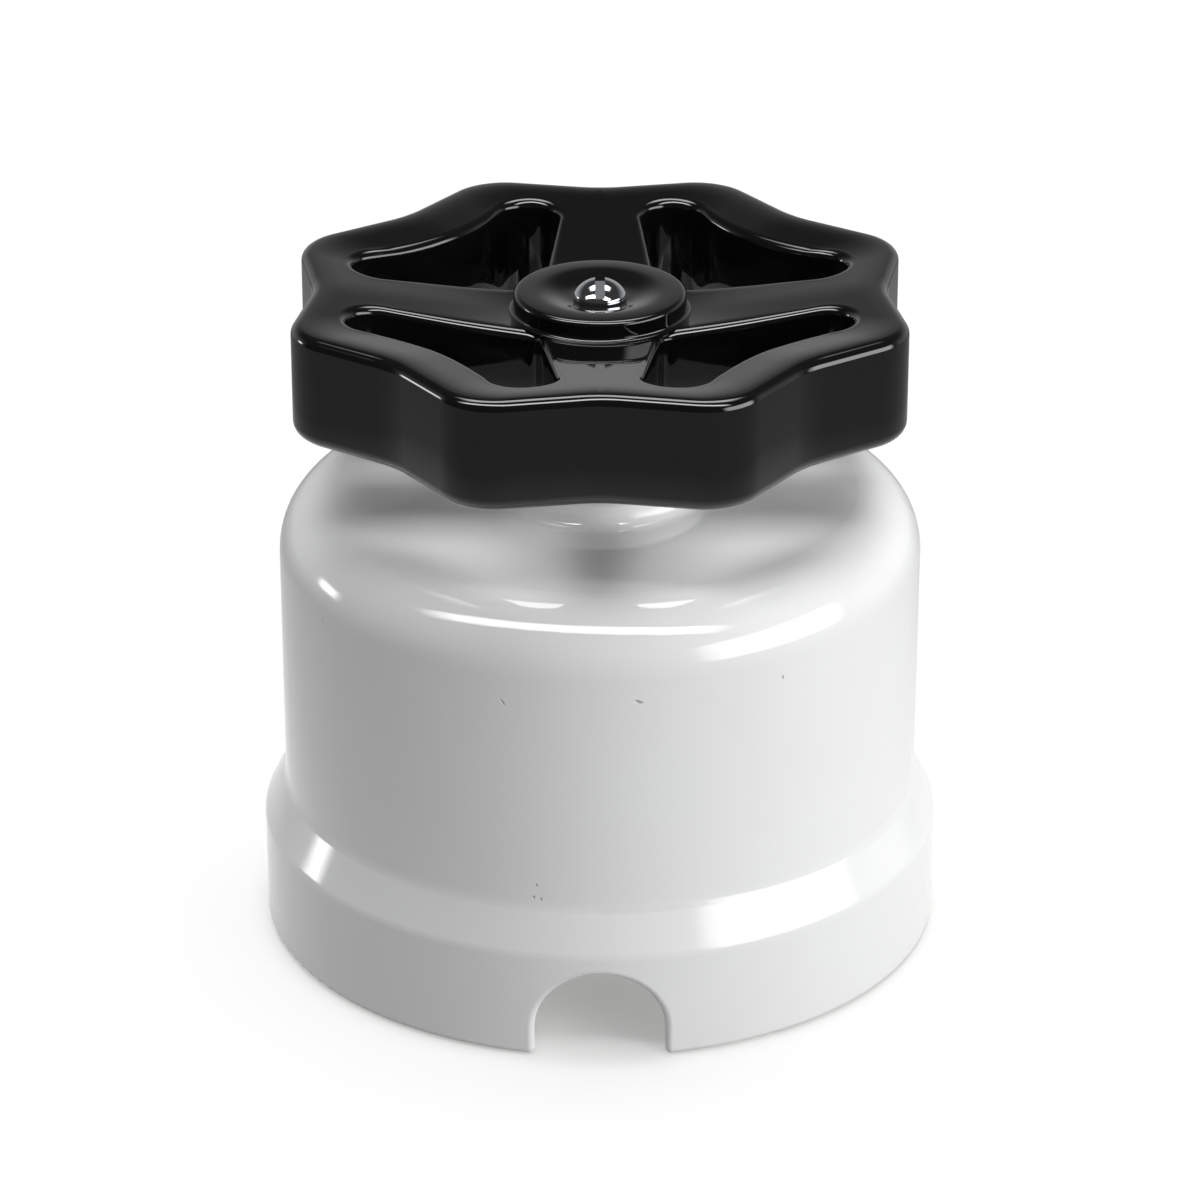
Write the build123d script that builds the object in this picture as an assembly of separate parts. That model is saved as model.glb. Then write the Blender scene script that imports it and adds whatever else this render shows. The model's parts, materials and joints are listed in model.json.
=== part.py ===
from build123d import *
from math import cos, sin, sqrt, hypot, atan2, degrees, radians
import os

# Porcelain rotary switch for surface mounting, with a valve-wheel knob.
# Millimetres, +Z up from the wall face. The origin is the centre of the base's underside,
# and the cable notch faces -Y. The knob turns about +Z, four clicks to a turn.

# Fits and gaps
FIT = 0.05                    # radial clearance of a shaft or shank in its hole
COVER_FIT = 0.1               # radial clearance of the bushing in the cover
HEAD_FIT = 0.2                # radial clearance of a screw head in its counterbore
COVER_GAP = 0.3               # base to the inside of the cover's flange
SKIRT_GAP = 0.6               # knob's skirt above the cover's collar
CONTACT_GAP = 0.1             # spring tips to the strips on the drum
LEAF_GAP = 0.08               # detent leaves to the flats of the cam
DRUM_ABOVE_BEARING = 0.3
CLIP_UNDER_BRIDGE = 0.3
SPINDLE_END_GAP = 0.4         # spindle's end to the floor of its hole in the knob
TERMINAL_GAP = 2.25           # outer end of a terminal to the inside of the cover

# Porcelain cover, outside
FLANGE_R = 35.0
FLANGE_H = 11.3               # where the flange's side ends
LEDGE_W = 2.25                # how far the flange stands out from the body
LEDGE_H = 4.4                 # rise of the sloping ledge on the flange
COVER_TOP_Z = 47.0
COLLAR_R = 10.8
COLLAR_H = 2.7
FOOT_ROUND = 0.6
FLANGE_ROUND = 1.6
LEDGE_ROUND = 2.4
SHOULDER_ROUND = 6.4
COLLAR_FOOT_ROUND = 1.5
COLLAR_EDGE_ROUND = 0.6

# Porcelain cover, inside
BODY_WALL = 4.0
TOP_WALL = 4.5
FLANGE_WALL = 4.0
INNER_ROUND = 4.0

# Cable notch through the flange and the base
NOTCH_W = 13.0
NOTCH_STRAIGHT = 2.8
NOTCH_ROUND = 0.6
CHANNEL_WALL = 2.5            # between the channel's end and the front pillar

# Porcelain base
BASE_H = 9.6
BASE_CHAMFER = 0.5
BASE_RIM_W = 4.7
RECESS_DEPTH = 2.0
WALL_HOLE_SPACING = 40.0
WALL_HOLE_R = 2.2
WALL_HEAD_R = 4.2
WALL_HEAD_DEPTH = 2.2
WALL_PAD_R = 6.2
HEAD_SINK = 0.4               # screw heads below the floor of the recess

# Pillars and bridge
POST_R = 3.0
POST_Y = 12.0
POST_CHAMFER = 0.3
BRIDGE_ABOVE_CAM = 2.0
BRIDGE_T = 2.0
BRIDGE_END = 4.5              # plate past the middle of a pillar
BRIDGE_W = 24.0
BRIDGE_ROUND = 4.0

# Small screws
M3_R = 1.5
M3_HEAD_R = 2.7
M3_HEAD_H = 1.6
SHANK_L = 6.0
SLOT_W = 0.8
SLOT_DEPTH = 0.7
HEAD_CHAMFER = 0.3
TAP_SPARE = 0.5               # tapped hole past the end of its screw

# Threaded bushing, washer and ring nut
BUSHING_R = 4.95
BUSHING_CHAMFER = 0.5
BUSHING_FLANGE_R = 7.0
BUSHING_FLANGE_H = 2.0
BUSHING_STICKS_OUT = 4.0      # above the cover's collar
WASHER_R = 7.4
WASHER_T = 0.7
NUT_ACROSS_FLATS = 13.0
NUT_H = 2.8

# Spindle, its foot bearing and its clip
SPINDLE_R = 3.0
SPINDLE_FLAT = 2.3            # flats for the knob, the drum and the cam, from the axis
SPINDLE_FOOT_R = 2.2          # thin enough for the drum to slide on from below
SPINDLE_STICKS_OUT = 0.5      # round part above the bushing
BEARING_R = 4.5
BEARING_FLANGE_R = 5.8
BEARING_FLANGE_H = 2.1
BEARING_DEPTH = 5.0
BEARING_FLOOR = 0.45
CLIP_R = 4.6
CLIP_T = 0.8
CLIP_GROOVE_R = 2.4
CLIP_MOUTH = 4.0

# Contact drum, strips and cam
DRUM_R = 6.8
DRUM_H = 14.5
DRUM_CHAMFER = 0.4
STRIP_PROUD = 0.4
STRIP_T = 0.9
STRIP_W = 5.0
STRIP_ARC = 112.0
STRIP_ABOVE_FOOT = 10.0       # middle of the strips above the drum's foot
STRIP_ANGLES = (90, 270)
CAM_H = 3.0
CAM_HALF = 5.2
CAM_ROUND = 1.6

# Terminals and their screws
TERMINAL_COUNT = 4
FIRST_TERMINAL = 45.0         # angle of the first one from +X
TERMINAL_L = 10.0
TERMINAL_W = 7.0
TERMINAL_H = 8.0
TERMINAL_CHAMFER = 0.8
WIRE_BORE_R = 1.7
WIRE_BORE_L = 5.0
WIRE_BORE_Z = 3.6             # above the foot of the block
FIXING_TAP = 3.5
SPRING_TAP = 3.0
CLAMP_SCREW_R = 1.5
CLAMP_HEAD_R = 2.1
CLAMP_HEAD_H = 1.4
CLAMP_FROM_MID = 2.6
CLAMP_SEAT = 0.6              # head above the block, as when no wire is clamped
CLAMP_TIP = 0.5               # tip above the axis of the wire bore

# Contact springs
SPRING_SCREW_FROM_MID = 2.4
SPRING_HEAD_R = 2.2
SPRING_HEAD_H = 1.4
SPRING_T = 0.5
SPRING_W = 4.0
SPRING_LEAN = 2.6             # foot of the upright leg from the tip, outwards
SPRING_TIP_RISE = 3.0
SPRING_TIP_BACK = 1.2
SPRING_BEND = 1.2

# Detent leaves
LEAF_T = 0.5
LEAF_W = 6.0
LEAF_FOOT_L = 6.0
LEAF_ABOVE_DRUM = 0.3
LEAF_EDGE = 0.2               # rivet's head to the end of the leaf
RIVET_R = 1.0
RIVET_HEAD_R = 1.8
RIVET_HEAD_H = 0.7

# Handwheel
WHEEL_ABOVE_COLLAR = 7.5
WHEEL_H = 11.5
LOBE_COUNT = 8
LOBE_TIP_R = 32.4
LOBE_ROUND = 6.4
SCALLOP_DEPTH = 3.5           # scallops in from the tip circle of the lobes
SCALLOP_ROUND = 12.0
RIM_TOP_ROUND = 1.05
RIM_LOW_ROUND = 1.4
SPOKE_COUNT = 4
SPOKE_DROP = 2.4              # spokes below the rim's top
HUB_BEYOND_SPOKE = 3.02       # hub's disc past each side of a spoke
SPOKE_HALF_RIM = 4.34         # half width at the foot of the ramp to the rim
RAMP_L = 4.5
RAMP_INSIDE = 0.28            # top of the ramp in from the far corners of the windows
RIM_W = 6.9                   # window to scallop
RIM_W_LOBE = 6.12             # far corner of a window to the tip circle of the lobes
WINDOW_CORNER = 3.2
WINDOW_HUB_CORNER = 1.6
WINDOW_TOP_ROUND = 0.95
WINDOW_LOW_ROUND = 1.2

# Hub of the handwheel and its screw
HUB_R = 8.86
HUB_RISE = 1.9                # hub's disc above the spokes
HUB_EDGE_ROUND = 1.0
HUB_FOOT_ROUND = 0.8
SCREW_RECESS_R = 3.15
SCREW_RECESS_ROUND = 1.4      # how softly the recess opens into the disc's top
SCREW_RECESS_DEPTH = 1.9
SCREW_WEB = 2.9               # under the screw's head, above the spindle's hole
SKIRT_R = 9.6
SKIRT_BORE_R = 8.3
SKIRT_BORE_TOP = 1.2          # above the end of the bushing
KNOB_HEAD_R = 2.7
KNOB_HEAD_H = 1.8
KNOB_HEAD_EDGE = 0.7
KNOB_SHANK_L = 8.3
KNOB_SLOT_W = 1.0
KNOB_SLOT_DEPTH = 1.0

# Construction only
BIG = 100.0                   # longer than anything on the switch
OVERCUT = 1.0                 # how far a cut starts outside the face it opens
EDGE_SLACK = 0.5              # how closely an edge is picked by its place

# Sizes that follow from those above
BODY_R = FLANGE_R - LEDGE_W
LEDGE_TOP_Z = FLANGE_H + LEDGE_H
BODY_INNER_R = BODY_R - BODY_WALL
FLANGE_INNER_R = FLANGE_R - FLANGE_WALL
COVER_INNER_TOP_Z = COVER_TOP_Z - TOP_WALL
COLLAR_TOP_Z = COVER_TOP_Z + COLLAR_H
BASE_R = FLANGE_INNER_R - COVER_GAP
RECESS_R = BASE_R - BASE_RIM_W
SCREW_SEAT_Z = RECESS_DEPTH + M3_HEAD_H + HEAD_SINK
BEARING_TOP_Z = BASE_H + BEARING_FLANGE_H
DRUM_LOW_Z = BEARING_TOP_Z + DRUM_ABOVE_BEARING
DRUM_TOP_Z = DRUM_LOW_Z + DRUM_H
STRIP_MID_Z = DRUM_LOW_Z + STRIP_ABOVE_FOOT
STRIP_R = DRUM_R + STRIP_PROUD
CAM_TOP_Z = DRUM_TOP_Z + CAM_H
POST_TOP_Z = CAM_TOP_Z + BRIDGE_ABOVE_CAM
BRIDGE_TOP_Z = POST_TOP_Z + BRIDGE_T
CLIP_LOW_Z = POST_TOP_Z - CLIP_UNDER_BRIDGE - CLIP_T
CHANNEL_END_Y = POST_Y + POST_R + CHANNEL_WALL
TERMINAL_TOP_Z = BASE_H + TERMINAL_H
TERMINAL_R = BODY_INNER_R - TERMINAL_GAP - TERMINAL_L / 2
SPRING_SCREW_R = TERMINAL_R - SPRING_SCREW_FROM_MID
LEAF_FACE_X = CAM_HALF + LEAF_GAP
LEAF_RIVET_X = LEAF_FACE_X + LEAF_FOOT_L - RIVET_HEAD_R - LEAF_EDGE
BUSHING_TOP_Z = COLLAR_TOP_Z + BUSHING_STICKS_OUT
NUT_LOW_Z = COLLAR_TOP_Z + WASHER_T
WHEEL_LOW_Z = COLLAR_TOP_Z + WHEEL_ABOVE_COLLAR
WHEEL_TOP_Z = WHEEL_LOW_Z + WHEEL_H
SPOKE_TOP_Z = WHEEL_TOP_Z - SPOKE_DROP
HUB_TOP_Z = SPOKE_TOP_Z + HUB_RISE
SCALLOP_R = LOBE_TIP_R - SCALLOP_DEPTH
WINDOW_SIDE_R = SCALLOP_R - RIM_W
WINDOW_FAR_R = LOBE_TIP_R - RIM_W_LOBE
RAMP_TO_R = WINDOW_FAR_R - RAMP_INSIDE
RAMP_FROM_R = RAMP_TO_R - RAMP_L
SPOKE_HALF_HUB = HUB_R - HUB_BEYOND_SPOKE
SPOKE_SLOPE = (SPOKE_HALF_RIM - SPOKE_HALF_HUB) / (RAMP_FROM_R - HUB_R)
SPOKE_HALF_MID = SPOKE_HALF_HUB - SPOKE_SLOPE * HUB_R
KNOB_SEAT_Z = HUB_TOP_Z - SCREW_RECESS_DEPTH
KNOB_SHANK_LOW_Z = KNOB_SEAT_Z - KNOB_SHANK_L
SPINDLE_LOW_Z = BASE_H - BEARING_DEPTH + BEARING_FLOOR + FIT
SPINDLE_NECK_Z = BUSHING_TOP_Z + SPINDLE_STICKS_OUT
SPINDLE_TOP_Z = KNOB_SEAT_Z - SCREW_WEB - SPINDLE_END_GAP


def ring(outer_r, inner_r, low_z, high_z):
    # A tube or washer on the axis.
    return Pos(0, 0, low_z) * extrude(Circle(outer_r) - Circle(inner_r), high_z - low_z)


def rod(radius, low_z, high_z):
    # A plain round bar on the axis.
    return Pos(0, 0, low_z) * extrude(Circle(radius), high_z - low_z)


def turned(profile):
    # A full turn of a profile drawn as radius across and height up.
    return revolve(Plane.XZ * profile, Axis.Z)


def around(shape, count):
    # Copies of a shape, evenly spaced about the axis.
    return [Rot(0, 0, step * 360 / count) * shape for step in range(count)]


def corner_nearest(sketch, radius, height):
    # The corner of a profile that lies nearest to a given radius and height.
    return min(sketch.vertices(), key=lambda v: hypot(v.X - radius, v.Y - height))


def round_corners(sketch, corners):
    # Rounds profile corners, each given as radius, height and rounding.
    for radius, height, rounding in corners:
        sketch = fillet(corner_nearest(sketch, radius, height), rounding)
    return sketch


def slotted_screw(shank_r, shank_l, head_r, head_h):
    # A cheese-head screw with its seat at z = 0 and its shank downwards.
    head = chamfer(rod(head_r, 0, head_h).edges().group_by(Axis.Z)[-1], HEAD_CHAMFER)
    slot = Pos(0, 0, head_h) * Box(SLOT_W, 3 * head_r, 2 * SLOT_DEPTH)
    return head - slot + rod(shank_r, -shank_l, 0)


def screw_from_below(tap_depth):
    # A screw whose head sits in the base's counterbore; it ends short of a tap above the base.
    shank_l = BASE_H + tap_depth - TAP_SPARE - SCREW_SEAT_Z
    screw = slotted_screw(M3_R, shank_l, M3_HEAD_R, M3_HEAD_H)
    return Pos(0, 0, SCREW_SEAT_Z) * Rot(180, 0, 0) * screw


def terminal_angles():
    return [FIRST_TERMINAL + index * 360 / TERMINAL_COUNT for index in range(TERMINAL_COUNT)]


def post_places():
    return [Pos(0, -POST_Y, 0), Pos(0, POST_Y, 0)]


def fixing_places():
    # Where screws come up through the base into the terminals.
    return [Rot(0, 0, angle) * Pos(SPRING_SCREW_R, 0, 0) for angle in terminal_angles()]


def notch_section(width, straight):
    # The arch of the cable notch, standing on z = 0.
    arch = Pos(0, straight) * Circle(width / 2)
    return arch + Pos(0, (straight - OVERCUT) / 2) * Rectangle(width, straight + OVERCUT)


def cover_outline():
    # Half section of the bell's outside: flange, sloping ledge, body, shoulder and collar.
    outline = make_face(Polyline(
        (0, 0), (FLANGE_R, 0), (FLANGE_R, FLANGE_H), (BODY_R, LEDGE_TOP_Z), (BODY_R, COVER_TOP_Z),
        (COLLAR_R, COVER_TOP_Z), (COLLAR_R, COLLAR_TOP_Z), (0, COLLAR_TOP_Z), close=True))
    return round_corners(outline, [
        (FLANGE_R, FLANGE_H, FLANGE_ROUND),
        (BODY_R, LEDGE_TOP_Z, LEDGE_ROUND),
        (BODY_R, COVER_TOP_Z, SHOULDER_ROUND),
        (COLLAR_R, COVER_TOP_Z, COLLAR_FOOT_ROUND),
        (COLLAR_R, COLLAR_TOP_Z, COLLAR_EDGE_ROUND)])


def cover_hollow():
    # Half section of its inside: a wide mouth for the base, then the body's bore.
    hollow = make_face(Polyline(
        (0, -OVERCUT), (FLANGE_INNER_R, -OVERCUT), (FLANGE_INNER_R, BASE_H), (BODY_INNER_R, BASE_H),
        (BODY_INNER_R, COVER_INNER_TOP_Z), (0, COVER_INNER_TOP_Z), close=True))
    return round_corners(hollow, [(BODY_INNER_R, COVER_INNER_TOP_Z, INNER_ROUND)])


def on_notch_rim(edge):
    # True for the edges where the notch breaks through the outside of the flange.
    middle = edge.center()
    return middle.Y < -(FLANGE_R + FLANGE_INNER_R) / 2 and middle.Z > EDGE_SLACK


def make_cover():
    # The bell is one fired piece: turned outside and inside, then notched for the cable.
    bell = turned(cover_outline()) - turned(cover_hollow())
    bell = bell - rod(BUSHING_R + COVER_FIT, 0, BIG)
    bell = bell - extrude(Plane.XZ * notch_section(NOTCH_W, NOTCH_STRAIGHT), BIG)
    bell = fillet(bell.edges().filter_by(on_notch_rim), NOTCH_ROUND)
    foot_edge = bell.edges().group_by(Axis.Z)[0].sort_by(SortBy.LENGTH)[-1]
    return fillet(foot_edge, FOOT_ROUND)


def make_base():
    # The disc that goes on the wall, hollowed underneath except at the wall-screw pads.
    disc = chamfer(rod(BASE_R, 0, BASE_H).edges().group_by(Axis.Z)[-1], BASE_CHAMFER)
    wall_places = [Pos(-WALL_HOLE_SPACING / 2, 0, 0), Pos(WALL_HOLE_SPACING / 2, 0, 0)]
    recess = Circle(RECESS_R)
    for place in wall_places:
        recess = recess - place * Circle(WALL_PAD_R)
    disc = disc - extrude(recess, RECESS_DEPTH)
    sink = Cone(WALL_HOLE_R, WALL_HEAD_R, WALL_HEAD_DEPTH, align=(Align.CENTER, Align.CENTER, Align.MAX))
    for place in wall_places:
        disc = disc - place * Pos(0, 0, BASE_H) * sink
        disc = disc - place * rod(WALL_HOLE_R, -OVERCUT, BASE_H)
    channel_mid_y = -CHANNEL_END_Y - NOTCH_W / 2
    channel = Pos(0, channel_mid_y) * Circle(NOTCH_W / 2)
    channel = channel + Pos(0, channel_mid_y - BIG / 2) * Rectangle(NOTCH_W, BIG)
    disc = disc - Pos(0, 0, -OVERCUT) * extrude(channel, BIG)
    disc = disc - rod(BEARING_R, BASE_H - BEARING_DEPTH, BIG)
    for place in post_places() + fixing_places():
        disc = disc - place * rod(M3_R + FIT, -OVERCUT, BIG)
        disc = disc - place * rod(M3_HEAD_R + HEAD_FIT, -OVERCUT, SCREW_SEAT_Z)
    return disc


def make_post():
    post = chamfer(rod(POST_R, BASE_H, POST_TOP_Z).edges(), POST_CHAMFER)
    low_tap = rod(M3_R, 0, BASE_H + SHANK_L)
    high_tap = rod(M3_R, POST_TOP_Z - SHANK_L, BIG)
    return post - low_tap - high_tap


def make_bridge():
    plate = fillet(Rectangle(BRIDGE_W, 2 * (POST_Y + BRIDGE_END)).vertices(), BRIDGE_ROUND)
    plate = plate - Circle(BUSHING_R + FIT)
    for place in post_places():
        plate = plate - place * Circle(M3_R + FIT)
    for side in (-1, 1):
        plate = plate - Pos(side * LEAF_RIVET_X, 0) * Circle(RIVET_R)
    return Pos(0, 0, POST_TOP_Z) * extrude(plate, BRIDGE_T)


def make_bushing():
    # Riveted in the bridge by its foot, with a hexagon flange and a threaded nose.
    body = rod(BUSHING_R, POST_TOP_Z, BUSHING_TOP_Z)
    body = chamfer(body.edges().group_by(Axis.Z)[-1], BUSHING_CHAMFER)
    flange = extrude(RegularPolygon(BUSHING_FLANGE_R, 6), BUSHING_FLANGE_H)
    body = body + Pos(0, 0, BRIDGE_TOP_Z) * flange
    return body - rod(SPINDLE_R + FIT, 0, BIG)


def make_ring_nut():
    blank = Pos(0, 0, NUT_LOW_Z) * extrude(RegularPolygon(NUT_ACROSS_FLATS / 2, 6, major_radius=False), NUT_H)
    return blank - rod(BUSHING_R, 0, BIG)


def make_lower_bearing():
    # A blind brass bush in the base, whose collar also carries the drum.
    bush = rod(BEARING_R, BASE_H - BEARING_DEPTH, BASE_H)
    bush = bush + rod(BEARING_FLANGE_R, BASE_H, BEARING_TOP_Z)
    return bush - rod(SPINDLE_FOOT_R + FIT, SPINDLE_LOW_Z - FIT, BIG)


def make_terminal(angle):
    block = Pos(TERMINAL_R, 0, BASE_H + TERMINAL_H / 2) * Box(TERMINAL_L, TERMINAL_W, TERMINAL_H)
    block = chamfer(block.edges().filter_by(Axis.Z), TERMINAL_CHAMFER)
    mouth = Pos(TERMINAL_R + TERMINAL_L / 2, 0, BASE_H + WIRE_BORE_Z) * Rot(0, -90, 0)
    block = block - mouth * rod(WIRE_BORE_R, -OVERCUT, WIRE_BORE_L)
    block = block - Pos(TERMINAL_R + CLAMP_FROM_MID, 0, 0) * rod(CLAMP_SCREW_R, BASE_H + WIRE_BORE_Z, BIG)
    block = block - Pos(SPRING_SCREW_R, 0, 0) * rod(M3_R, 0, BASE_H + FIXING_TAP)
    block = block - Pos(SPRING_SCREW_R, 0, 0) * rod(M3_R, TERMINAL_TOP_Z - SPRING_TAP, BIG)
    return Rot(0, 0, angle) * block


def make_clamp_screw(angle):
    seat_z = TERMINAL_TOP_Z + CLAMP_SEAT
    shank_l = seat_z - BASE_H - WIRE_BORE_Z - CLAMP_TIP
    screw = slotted_screw(CLAMP_SCREW_R, shank_l, CLAMP_HEAD_R, CLAMP_HEAD_H)
    return Rot(0, 0, angle) * Pos(TERMINAL_R + CLAMP_FROM_MID, 0, seat_z) * screw


def make_contact_spring(angle):
    # A bronze strip, flat on its block, bent up beside the drum and curled to a rounded tip.
    foot_z = TERMINAL_TOP_Z + SPRING_T / 2
    tip_x = STRIP_R + CONTACT_GAP + SPRING_T / 2
    foot_end = SPRING_SCREW_R + SPRING_W / 2
    line = FilletPolyline(
        (foot_end, foot_z), (tip_x + SPRING_LEAN, foot_z), (tip_x, STRIP_MID_Z),
        (tip_x + SPRING_TIP_BACK, STRIP_MID_Z + SPRING_TIP_RISE), radius=SPRING_BEND)
    strip = extrude(Plane.XZ * trace(line, SPRING_T), SPRING_W / 2, both=True)
    strip = strip - Pos(SPRING_SCREW_R, 0, 0) * rod(M3_R + FIT, 0, BIG)
    return Rot(0, 0, angle) * strip


def make_spring_screw(angle):
    screw = slotted_screw(M3_R, SPRING_T + SPRING_TAP - TAP_SPARE, SPRING_HEAD_R, SPRING_HEAD_H)
    return Rot(0, 0, angle) * Pos(SPRING_SCREW_R, 0, TERMINAL_TOP_Z + SPRING_T) * screw


def make_detent_leaf(turn):
    # A leaf riveted under the bridge, hanging down beside the cam.
    low_z = DRUM_TOP_Z + LEAF_ABOVE_DRUM
    leg = Pos(LEAF_FACE_X + LEAF_T / 2, 0, (low_z + POST_TOP_Z) / 2) * Box(LEAF_T, LEAF_W, POST_TOP_Z - low_z)
    foot = Pos(LEAF_FACE_X + LEAF_FOOT_L / 2, 0, POST_TOP_Z - LEAF_T / 2) * Box(LEAF_FOOT_L, LEAF_W, LEAF_T)
    leaf = leg + foot - Pos(LEAF_RIVET_X, 0, 0) * rod(RIVET_R, 0, BIG)
    return Rot(0, 0, turn) * leaf


def make_rivet(turn):
    low_z = POST_TOP_Z - LEAF_T
    rivet = rod(RIVET_R, low_z, BRIDGE_TOP_Z)
    rivet = rivet + rod(RIVET_HEAD_R, BRIDGE_TOP_Z, BRIDGE_TOP_Z + RIVET_HEAD_H)
    rivet = rivet + rod(RIVET_HEAD_R, low_z - RIVET_HEAD_H, low_z)
    return Rot(0, 0, turn) * Pos(LEAF_RIVET_X, 0, 0) * rivet


def flat_sided(radius, flat):
    # The spindle's section with two flats, or the matching hole.
    return Circle(radius) & Rectangle(2 * flat, 3 * radius)


def keyed_hole(low_z, high_z):
    # The hole that fits the spindle's two flats.
    return Pos(0, 0, low_z) * extrude(flat_sided(SPINDLE_R + FIT, SPINDLE_FLAT + FIT), high_z - low_z)


def make_spindle():
    # A thin foot, a two-flat seat for the drum and cam, a round journal, and the knob's two-flat end.
    seat = Pos(0, 0, DRUM_LOW_Z) * extrude(flat_sided(SPINDLE_R, SPINDLE_FLAT), CAM_TOP_Z - DRUM_LOW_Z)
    knob_end = Pos(0, 0, SPINDLE_NECK_Z) * extrude(
        flat_sided(SPINDLE_R, SPINDLE_FLAT), SPINDLE_TOP_Z - SPINDLE_NECK_Z)
    shaft = rod(SPINDLE_FOOT_R, SPINDLE_LOW_Z, DRUM_LOW_Z) + seat
    shaft = shaft + rod(SPINDLE_R, CAM_TOP_Z, SPINDLE_NECK_Z) + knob_end
    shaft = shaft - ring(SPINDLE_R + OVERCUT, CLIP_GROOVE_R, CLIP_LOW_Z, CLIP_LOW_Z + CLIP_T)
    return shaft - rod(M3_R, KNOB_SHANK_LOW_Z - TAP_SPARE, BIG)


def make_strip(middle_angle):
    # A piece of tube that spans the strip's arc about an angle.
    half = radians(STRIP_ARC / 2)
    far = 3 * STRIP_R
    wedge = make_face(Polyline((0, 0), (far * cos(half), far * sin(half)), (far * 2, 0),
                               (far * cos(half), -far * sin(half)), close=True))
    section = (Circle(STRIP_R) - Circle(STRIP_R - STRIP_T)) & wedge
    band = Pos(0, 0, STRIP_MID_Z - STRIP_W / 2) * extrude(section, STRIP_W)
    return Rot(0, 0, middle_angle) * band


def make_drum():
    # Moulded with a groove round each contact strip.
    drum = chamfer(rod(DRUM_R, DRUM_LOW_Z, DRUM_TOP_Z).edges(), DRUM_CHAMFER)
    drum = drum - keyed_hole(0, BIG)
    for middle_angle in STRIP_ANGLES:
        drum = drum - make_strip(middle_angle)
    return drum


def make_cam():
    blank = extrude(fillet(Rectangle(2 * CAM_HALF, 2 * CAM_HALF).vertices(), CAM_ROUND), CAM_H)
    return Pos(0, 0, DRUM_TOP_Z) * blank - keyed_hole(0, BIG)


def make_clip():
    clip = Circle(CLIP_R) - Circle(CLIP_GROOVE_R + FIT)
    clip = clip - Pos(0, -CLIP_R) * Rectangle(CLIP_MOUTH, 2 * CLIP_R)
    return Pos(0, 0, CLIP_LOW_Z) * extrude(clip, CLIP_T)


def wheel_outline():
    # Lobe and scallop arcs in turn, joined by the straight lines that touch both.
    step = 360 / LOBE_COUNT
    lobe_at = LOBE_TIP_R - LOBE_ROUND
    half = radians(step / 2)
    lobe_c = Vector(lobe_at * cos(half), lobe_at * sin(half))
    scallop_c = Vector(SCALLOP_R + SCALLOP_ROUND, 0)
    between = lobe_c - scallop_c
    rounds = LOBE_ROUND + SCALLOP_ROUND
    lean = degrees(atan2(between.Y, between.X))
    swing = degrees(atan2(sqrt(between.length ** 2 - rounds ** 2), rounds))
    along = radians(lean + swing)
    scallop_end = scallop_c + Vector(cos(along), sin(along)) * SCALLOP_ROUND
    lobe_start = lobe_c - Vector(cos(along), sin(along)) * LOBE_ROUND
    scallop_start = Vector(scallop_end.X, -scallop_end.Y)
    lobe_tip = Vector(LOBE_TIP_R, 0).rotate(Axis.Z, step / 2)
    lobe_finish = Vector(lobe_start.X, -lobe_start.Y).rotate(Axis.Z, step)
    pieces = [
        ThreePointArc(scallop_start, Vector(SCALLOP_R, 0), scallop_end),
        Line(scallop_end, lobe_start),
        ThreePointArc(lobe_start, lobe_tip, lobe_finish),
        Line(lobe_finish, scallop_start.rotate(Axis.Z, step))]
    edges = []
    for piece in pieces:
        edges += around(piece, LOBE_COUNT)
    return make_face(Wire(edges))


def window_corner():
    # Centre of the rounded corner by the first spoke: one corner radius off the spoke's side,
    # and as far out as the window reaches.
    steep = 1 + SPOKE_SLOPE ** 2
    at_axis_y = SPOKE_HALF_MID + WINDOW_CORNER * sqrt(steep)
    centre_r = WINDOW_FAR_R - WINDOW_CORNER
    lean = SPOKE_SLOPE * at_axis_y
    x = (sqrt(lean ** 2 - steep * (at_axis_y ** 2 - centre_r ** 2)) - lean) / steep
    return Vector(x, at_axis_y + SPOKE_SLOPE * x)


def window_outline():
    # One window in the first quadrant: two spoke sides, a rounded corner at each lobe,
    # and a rim side that bulges inwards behind the scallop.
    corner_c = window_corner()
    diagonal = Vector(1, 1).normalized()
    along = corner_c.dot(diagonal)
    aside = (corner_c - diagonal * along).length
    # The bulge touches both corners and passes through the rim side's middle.
    step = WINDOW_SIDE_R - along
    bulge_round = (step ** 2 + aside ** 2 - WINDOW_CORNER ** 2) / (2 * (WINDOW_CORNER - step))
    bulge_c = diagonal * (WINDOW_SIDE_R + bulge_round)
    on_bulge = bulge_c + (corner_c - bulge_c).normalized() * bulge_round
    on_spoke = corner_c + Vector(SPOKE_SLOPE, -1).normalized() * WINDOW_CORNER
    corner_mid = corner_c.normalized() * WINDOW_FAR_R
    hub_xy = SPOKE_HALF_MID / (1 - SPOKE_SLOPE)
    hub_corner = Vector(hub_xy, hub_xy)

    def flip(point):
        return Vector(point.Y, point.X)

    window = make_face(Wire([
        Line(hub_corner, on_spoke),
        ThreePointArc(on_spoke, corner_mid, on_bulge),
        ThreePointArc(on_bulge, diagonal * WINDOW_SIDE_R, flip(on_bulge)),
        ThreePointArc(flip(on_bulge), flip(corner_mid), flip(on_spoke)),
        Line(flip(on_spoke), hub_corner)]))
    return fillet(corner_nearest(window, hub_xy, hub_xy), WINDOW_HUB_CORNER)


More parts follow.
